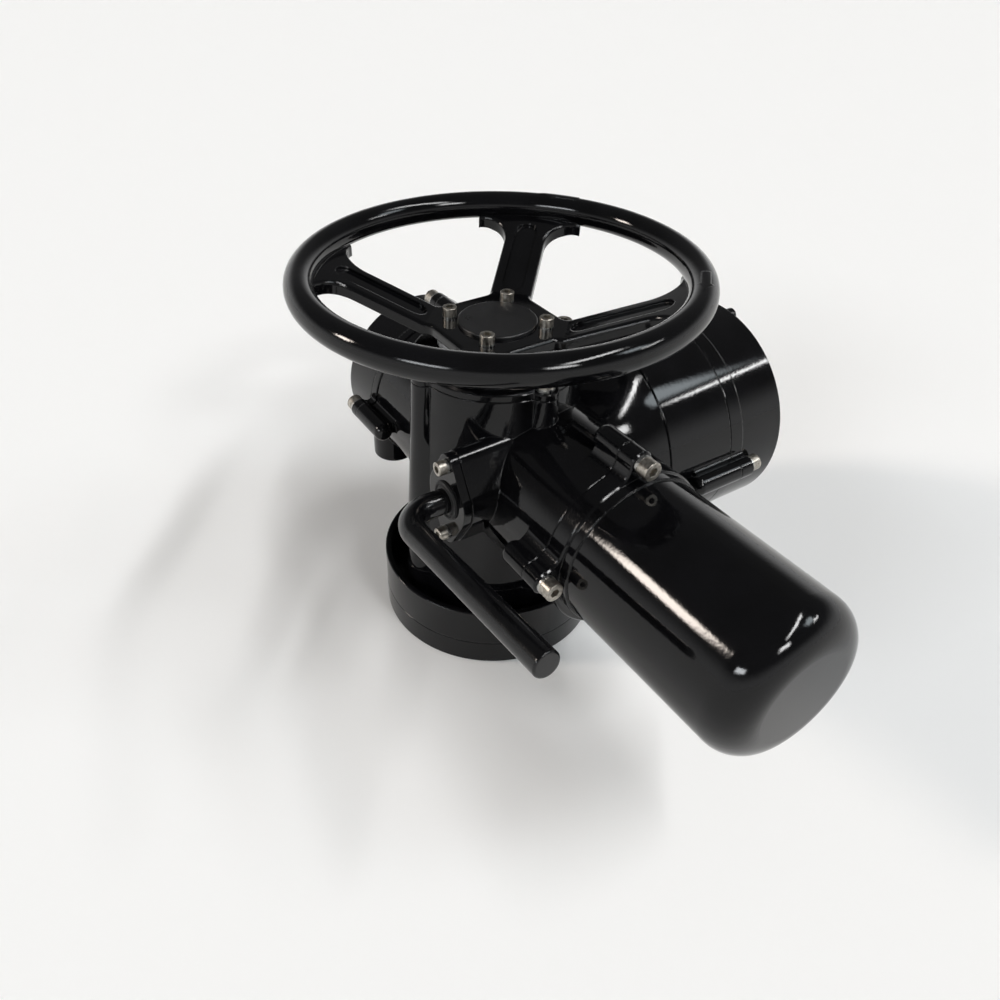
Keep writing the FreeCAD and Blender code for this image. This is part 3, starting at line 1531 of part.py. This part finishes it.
save("lever_cap_screws", lever_cap_screws())
save("lever_cap_washers", lever_cap_washers())
save("declutch_lever", declutch_lever())
save("shift_fork", shift_fork())
save("control_plate", control_plate())
save("control_posts", control_posts())
save("position_shaft", position_shaft())
save("cam_shaft", cam_shaft())
save("microswitches", microswitches())
save("switch_bracket", switch_bracket())
save("shaft_bush", shaft_bush())
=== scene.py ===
import bpy
import json
import math
from mathutils import Matrix, Vector

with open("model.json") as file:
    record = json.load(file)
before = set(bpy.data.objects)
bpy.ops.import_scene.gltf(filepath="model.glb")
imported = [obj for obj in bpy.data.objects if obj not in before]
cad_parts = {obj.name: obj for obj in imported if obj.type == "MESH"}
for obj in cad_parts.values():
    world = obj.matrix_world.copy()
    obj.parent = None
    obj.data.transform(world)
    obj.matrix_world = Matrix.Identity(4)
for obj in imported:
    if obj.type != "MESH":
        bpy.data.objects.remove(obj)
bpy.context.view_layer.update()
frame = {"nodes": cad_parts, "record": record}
print("frame loaded:", len(frame["nodes"]), "nodes")


def linearColour(hexCode):
    channels = [int(hexCode[i:i + 2], 16) / 255 for i in (1, 3, 5)]
    linear = [c / 12.92 if c <= 0.04045 else ((c + 0.055) / 1.055) ** 2.4 for c in channels]
    return (*linear, 1.0)


def addNode(tree, kind, settings=None, links=None):
    node = tree.nodes.new("ShaderNode" + kind)
    for name, value in (settings or {}).items():
        if isinstance(name, int) or name in node.inputs:
            node.inputs[name].default_value = value
        else:
            setattr(node, name, value)
    for name, source in (links or {}).items():
        tree.links.new(source, node.inputs[name])
    return node


# what every surface shares
pattern = {"noiseDetail": 3.0, "grainRoughness": 0.55, "waveDetail": 1.0,
           "colourRange": (0.35, 0.65), "roughnessRange": (0.3, 0.7),    # parts of the mottle used
           "gloss": 0.5, "bumpStrength": 0.5, "bevelSamples": 4,
           "waveRepeat": 0.1 * math.pi}    # a wave texture repeats after that much of its own length


def perMetre(millimetres):    # texture scale that repeats once in that many millimetres
    return 1000.0 / millimetres


# sizes, depths and radii in millimetres
finishes = {
    # stoved enamel on an iron casting: deep black, wet gloss, faint orange peel, soft cast edges
    "stovedEnamel": {
        "dark": "#060607", "light": "#0a0a0c", "mottleSize": 30.0, "metallic": 0.0, "gloss": 0.3,
        "roughness": (0.045, 0.09), "grainSize": 2.4, "grainDepth": 0.06, "edgeRound": 1.2},
    # the same enamel on a drawn bar: thinner coat, less wet
    "enamelledBar": {
        "dark": "#070708", "light": "#0c0c0e", "mottleSize": 18.0, "metallic": 0.0, "gloss": 0.4,
        "roughness": (0.12, 0.2), "grainSize": 2.0, "grainDepth": 0.03, "edgeRound": 0.8},
    # A2 stainless, cold headed and turned: satin, slightly warm grey
    "stainlessScrew": {
        "dark": "#8f8a82", "light": "#bdb8af", "mottleSize": 2.5, "metallic": 1.0,
        "roughness": (0.3, 0.42), "grainSize": 0.9, "grainDepth": 0.06, "edgeRound": 0.25},
    # spring steel, tumbled: bright with rounded edges
    "springSteel": {
        "dark": "#8f8f8d", "light": "#c4c3bf", "mottleSize": 2.0, "metallic": 1.0,
        "roughness": (0.25, 0.4), "grainSize": 0.6, "grainDepth": 0.02, "edgeRound": 0.2},
    # nitrile rubber, moulded: near black and matt, slightly dusty
    "nitrileRubber": {
        "dark": "#101011", "light": "#1b1b1c", "mottleSize": 4.0, "metallic": 0.0,
        "roughness": (0.55, 0.7), "grainSize": 0.8, "grainDepth": 0.03, "edgeRound": 0.3},
    # carbon steel, fine turned and oiled: mid grey, satin
    "turnedSteel": {
        "dark": "#7d7d7f", "light": "#a5a6a8", "mottleSize": 6.0, "metallic": 1.0,
        "roughness": (0.26, 0.4), "grainSize": 0.8, "grainDepth": 0.02, "edgeRound": 0.3},
    # case-hardened gear steel, ground: darker grey with an oil film
    "groundGearSteel": {
        "dark": "#5f6063", "light": "#8b8c8f", "mottleSize": 5.0, "metallic": 1.0,
        "roughness": (0.22, 0.34), "grainSize": 0.7, "grainDepth": 0.02, "edgeRound": 0.25},
    # bearing steel, lapped: bright and smooth
    "lappedSteel": {
        "dark": "#b0b0b2", "light": "#d0d0d2", "mottleSize": 8.0, "metallic": 1.0,
        "roughness": (0.1, 0.18), "grainSize": 0.6, "grainDepth": 0.01, "edgeRound": 0.3},
    # tin bronze, hobbed and turned: warm brown-yellow
    "tinBronze": {
        "dark": "#8f6a3a", "light": "#bb9257", "mottleSize": 7.0, "metallic": 1.0,
        "roughness": (0.25, 0.38), "grainSize": 0.9, "grainDepth": 0.02, "edgeRound": 0.3},
    # aluminium die casting, machined: pale grey, satin
    "castAluminium": {
        "dark": "#a3a5a8", "light": "#c3c5c8", "mottleSize": 9.0, "metallic": 1.0,
        "roughness": (0.35, 0.5), "grainSize": 1.0, "grainDepth": 0.03, "edgeRound": 0.4},
    # electrical sheet, stacked and varnished: dark grey, edges of the 0.5 mm sheets drawn coarser
    "stackedSheet": {
        "dark": "#3c3c3f", "light": "#5c5c60", "mottleSize": 3.0, "metallic": 1.0,
        "roughness": (0.35, 0.5), "grainSize": 0.8, "grainDepth": 0.08, "edgeRound": 0.2,
        "lines": {"kind": "BANDS", "axis": "X", "pitch": 1.0, "waver": 0.0}},
    # enamelled copper wire, wound and varnished: orange-brown, glossy, wires as wavering lines
    "varnishedCopper": {
        "dark": "#7a3516", "light": "#b4622f", "mottleSize": 2.0, "metallic": 0.6,
        "roughness": (0.22, 0.34), "grainSize": 1.2, "grainDepth": 0.2, "edgeRound": 0.4,
        "lines": {"kind": "BANDS", "axis": "X", "pitch": 1.4, "waver": 2.5}},
    # black anodised aluminium: deep satin black, fine turned rings
    "blackAnodised": {
        "dark": "#0e0e0f", "light": "#171718", "mottleSize": 12.0, "metallic": 0.0,
        "roughness": (0.26, 0.36), "grainSize": 0.8, "grainDepth": 0.015, "edgeRound": 0.3,
        "lines": {"kind": "RINGS", "axis": "Z", "pitch": 0.8, "waver": 0.0}},
    # glass-filled nylon, moulded: dark, matt, fine spark texture
    "glassNylon": {
        "dark": "#1c1d1f", "light": "#2a2b2d", "mottleSize": 3.0, "metallic": 0.0,
        "roughness": (0.48, 0.62), "grainSize": 0.5, "grainDepth": 0.04, "edgeRound": 0.3},
    # nickel-plated brass: pale warm metal
    "platedBrass": {
        "dark": "#b09a62", "light": "#d3c08d", "mottleSize": 2.0, "metallic": 1.0,
        "roughness": (0.2, 0.32), "grainSize": 0.5, "grainDepth": 0.02, "edgeRound": 0.2},
}
# knurled screw heads: the grain is drawn out along each screw's own axis
for axis, drag in (("X", (0.12, 1, 1)), ("Y", (1, 0.12, 1)), ("Z", (1, 1, 0.12))):
    finishes["knurledScrew" + axis] = dict(finishes["stainlessScrew"], drag=drag)


def lineHeight(tree, place, lines):
    scale = perMetre(lines["pitch"]) * pattern["waveRepeat"]
    wave = addNode(tree, "TexWave", {"wave_type": lines["kind"], "Scale": scale,
                                     "Distortion": lines["waver"],
                                     "Detail": pattern["waveDetail"]}, {"Vector": place})
    wave.bands_direction = wave.rings_direction = lines["axis"]
    return wave.outputs["Fac"]


def makeSurface(name, finish):
    material = bpy.data.materials.new(name)
    material.use_nodes = True
    tree = material.node_tree
    tree.nodes.clear()
    place = addNode(tree, "TexCoord").outputs["Object"]
    mottle = addNode(tree, "TexNoise", {"Scale": perMetre(finish["mottleSize"]),
                                        "Detail": pattern["noiseDetail"]},
                     {"Vector": place}).outputs["Fac"]
    colour = addNode(tree, "ValToRGB", {}, {"Fac": mottle})
    stops = zip(colour.color_ramp.elements, pattern["colourRange"], ("dark", "light"))
    for stop, position, shade in stops:
        stop.position = position
        stop.color = linearColour(finish[shade])
    mottleLow, mottleHigh = pattern["roughnessRange"]
    smooth, rough = finish["roughness"]
    roughness = addNode(tree, "MapRange", {"From Min": mottleLow, "From Max": mottleHigh,
                                           "To Min": smooth, "To Max": rough}, {"Value": mottle})
    drag = addNode(tree, "Mapping", {"Scale": finish.get("drag", (1, 1, 1))}, {"Vector": place})
    height = addNode(tree, "TexNoise", {"Scale": perMetre(finish["grainSize"]),
                                        "Detail": pattern["noiseDetail"],
                                        "Roughness": pattern["grainRoughness"]},
                     {"Vector": drag.outputs["Vector"]}).outputs["Fac"]
    if "lines" in finish:
        lines = lineHeight(tree, place, finish["lines"])
        height = addNode(tree, "Math", {"operation": "ADD"}, {0: height, 1: lines}).outputs["Value"]
    rounding = addNode(tree, "Bevel", {"Radius": finish["edgeRound"] / 1000,
                                       "samples": pattern["bevelSamples"]})
    bump = addNode(tree, "Bump", {"Strength": pattern["bumpStrength"],
                                  "Distance": finish["grainDepth"] / 1000},
                   {"Height": height, "Normal": rounding.outputs["Normal"]})
    shader = addNode(tree, "BsdfPrincipled",
                     {"Metallic": finish["metallic"],
                      "Specular IOR Level": finish.get("gloss", pattern["gloss"])},
                     {"Base Color": colour.outputs["Color"],
                      "Roughness": roughness.outputs["Result"], "Normal": bump.outputs["Normal"]})
    addNode(tree, "OutputMaterial", {}, {"Surface": shader.outputs["BSDF"]})
    return material


slotFinish = {
    "housing_enamel": "stovedEnamel", "bright_screws": "stainlessScrew",
    "spring_steel": "springSteel", "seal_rubber": "nitrileRubber",
    "machined_steel": "turnedSteel", "gear_steel": "groundGearSteel",
    "bearing_steel": "lappedSteel", "bronze": "tinBronze", "cast_aluminium": "castAluminium",
    "lamination_steel": "stackedSheet", "copper_winding": "varnishedCopper",
    "cap_metal": "blackAnodised", "moulding": "glassNylon", "terminal_brass": "platedBrass"}
# nodes that differ from the rest of their slot
nodeFinish = {
    "declutch_lever": "enamelledBar", "motor_screws": "knurledScrewX",
    "terminal_screws": "knurledScrewX", "control_screws": "knurledScrewY",
    "lever_cap_screws": "knurledScrewY", "top_cover_screws": "knurledScrewZ",
    "handwheel_screws": "knurledScrewZ", "ring_screws": "knurledScrewZ",
    "base_screws": "knurledScrewZ"}

surfaces = {name: makeSurface(name, finish) for name, finish in finishes.items()}
for subpart in frame["record"]["subparts"]:
    finishName = nodeFinish.get(subpart["node"], slotFinish[subpart["material_slot"]])
    for slot in frame["nodes"][subpart["node"]].material_slots:
        slot.material = surfaces[finishName]
print("materials set:", len(surfaces))


# the paper sweeps up pale, the ceiling is dark; heights above the horizon in degrees
studio = {"floorColour": "#fafaf9", "floorSize": 60.0, "floorDrop": 0.0002, "paperRoughness": 0.9,
          "horizonLevel": 0.95, "paleBelow": 4.0, "ceilingLevel": 0.12, "darkAbove": 24.0}

# softboxes far away: where they hang and their roll in degrees, size as seen from one metre
softboxes = {
    "left": {"azimuth": 238.0, "elevation": 28.0, "roll": 0.0, "width": 0.2, "height": 0.2,
             "brightness": 42.0, "colour": "#fff3e8"},
    "front": {"azimuth": 289.0, "elevation": 25.0, "roll": 0.0, "width": 0.5, "height": 0.15,
              "brightness": 22.0, "colour": "#f1f5f8"},
    "right": {"azimuth": 2.0, "elevation": 37.0, "roll": 0.0, "width": 0.3, "height": 0.16,
              "brightness": 29.0, "colour": "#ffffff"},
    "overhead": {"azimuth": 40.0, "elevation": 58.0, "roll": 10.0, "width": 0.9, "height": 0.07,
                 "brightness": 36.0, "colour": "#ffffff"},
    "backWindow": {"azimuth": 53.0, "elevation": 42.0, "roll": 0.0, "width": 0.32, "height": 0.2,
                   "brightness": 9.0, "colour": "#dfe9ee"},
    "backStrip": {"azimuth": 58.0, "elevation": 34.0, "roll": 0.0, "width": 0.3, "height": 0.03,
                  "brightness": 42.0, "colour": "#ffffff"},
}
fullyBright = 0.5    # share of a softbox's width and height, the rest fades out


def softboxLevel(tree, way, box):
    azimuth, elevation = math.radians(box["azimuth"]), math.radians(box["elevation"])
    towards = Vector((math.cos(elevation) * math.cos(azimuth),
                      math.cos(elevation) * math.sin(azimuth), math.sin(elevation)))
    roll = Matrix.Rotation(math.radians(box["roll"]), 3, "Z")
    turn = towards.to_track_quat("Z", "Y").to_matrix() @ roll
    local = addNode(tree, "Mapping", {"vector_type": "TEXTURE", "Rotation": turn.to_euler()},
                    {"Vector": way}).outputs["Vector"]
    along = addNode(tree, "SeparateXYZ", {}, {"Vector": local}).outputs
    level = addNode(tree, "Math", {"operation": "GREATER_THAN", 1: 0.0}, {0: along["Z"]})
    level = level.outputs["Value"]    # one on the side of the room where the softbox hangs
    for axis, size in (("X", box["width"]), ("Y", box["height"])):
        slope = addNode(tree, "Math", {"operation": "DIVIDE"}, {0: along[axis], 1: along["Z"]})
        away = addNode(tree, "Math", {"operation": "ABSOLUTE"}, {0: slope.outputs["Value"]})
        edge = addNode(tree, "MapRange", {"interpolation_type": "SMOOTHSTEP",
                                          "From Min": size / 2 * fullyBright,
                                          "From Max": size / 2, "To Min": 1.0, "To Max": 0.0},
                       {"Value": away.outputs["Value"]})
        level = addNode(tree, "Math", {"operation": "MULTIPLY"},
                        {0: level, 1: edge.outputs["Result"]}).outputs["Value"]
    return level


def makeFloor():
    bpy.ops.object.select_all(action="DESELECT")
    bpy.ops.mesh.primitive_plane_add(size=studio["floorSize"],
                                     location=(0, 0, -studio["floorDrop"]))
    floor = bpy.context.object
    floor.name = "floor"
    paper = bpy.data.materials.new("studioPaper")    # white background paper, matt
    paper.use_nodes = True
    shader = paper.node_tree.nodes["Principled BSDF"]
    shader.inputs["Base Color"].default_value = linearColour(studio["floorColour"])
    shader.inputs["Roughness"].default_value = studio["paperRoughness"]
    floor.data.materials.append(paper)


def makeRoom():
    room = bpy.data.worlds.new("studioRoom")
    room.use_nodes = True
    tree = room.node_tree
    way = addNode(tree, "TexCoord").outputs["Generated"]
    height = addNode(tree, "SeparateXYZ", {}, {"Vector": way}).outputs["Z"]
    fade = addNode(tree, "MapRange", {"interpolation_type": "SMOOTHSTEP",
                                      "From Min": math.sin(math.radians(studio["paleBelow"])),
                                      "From Max": math.sin(math.radians(studio["darkAbove"])),
                                      "To Min": studio["horizonLevel"],
                                      "To Max": studio["ceilingLevel"]}, {"Value": height})
    light = fade.outputs["Result"]
    for box in softboxes.values():
        tint = [channel * box["brightness"] for channel in linearColour(box["colour"])[:3]]
        light = addNode(tree, "VectorMath", {"operation": "MULTIPLY_ADD", 1: tint},
                        {0: softboxLevel(tree, way, box), 2: light}).outputs["Vector"]
    tree.links.new(light, tree.nodes["Background"].inputs["Color"])
    bpy.context.scene.world = room


# fitted to the photograph: place in metres, angles in degrees
camera = {"place": (0.4386, -0.2998, 0.5147), "azimuth": 59.2, "elevation": 38.0, "roll": -0.2,
          "lens": 30.05, "sensor": 36.0, "shift": (0.0495, -0.0051), "clipStart": 0.01}


def makeCamera():
    data = bpy.data.cameras.new("camera")
    data.sensor_width = camera["sensor"]
    data.lens = camera["lens"]
    data.shift_x, data.shift_y = camera["shift"]
    data.clip_start = camera["clipStart"]
    holder = bpy.data.objects.new("camera", data)
    turn = (Matrix.Rotation(math.radians(camera["azimuth"]), 4, "Z")
            @ Matrix.Rotation(math.radians(90 - camera["elevation"]), 4, "X")
            @ Matrix.Rotation(math.radians(camera["roll"]), 4, "Z"))
    holder.matrix_world = Matrix.Translation(camera["place"]) @ turn
    bpy.context.collection.objects.link(holder)
    bpy.context.scene.camera = holder


makeFloor()
makeRoom()
makeCamera()
bpy.context.scene.view_settings.view_transform = "Standard"
print("studio, softboxes and camera set")
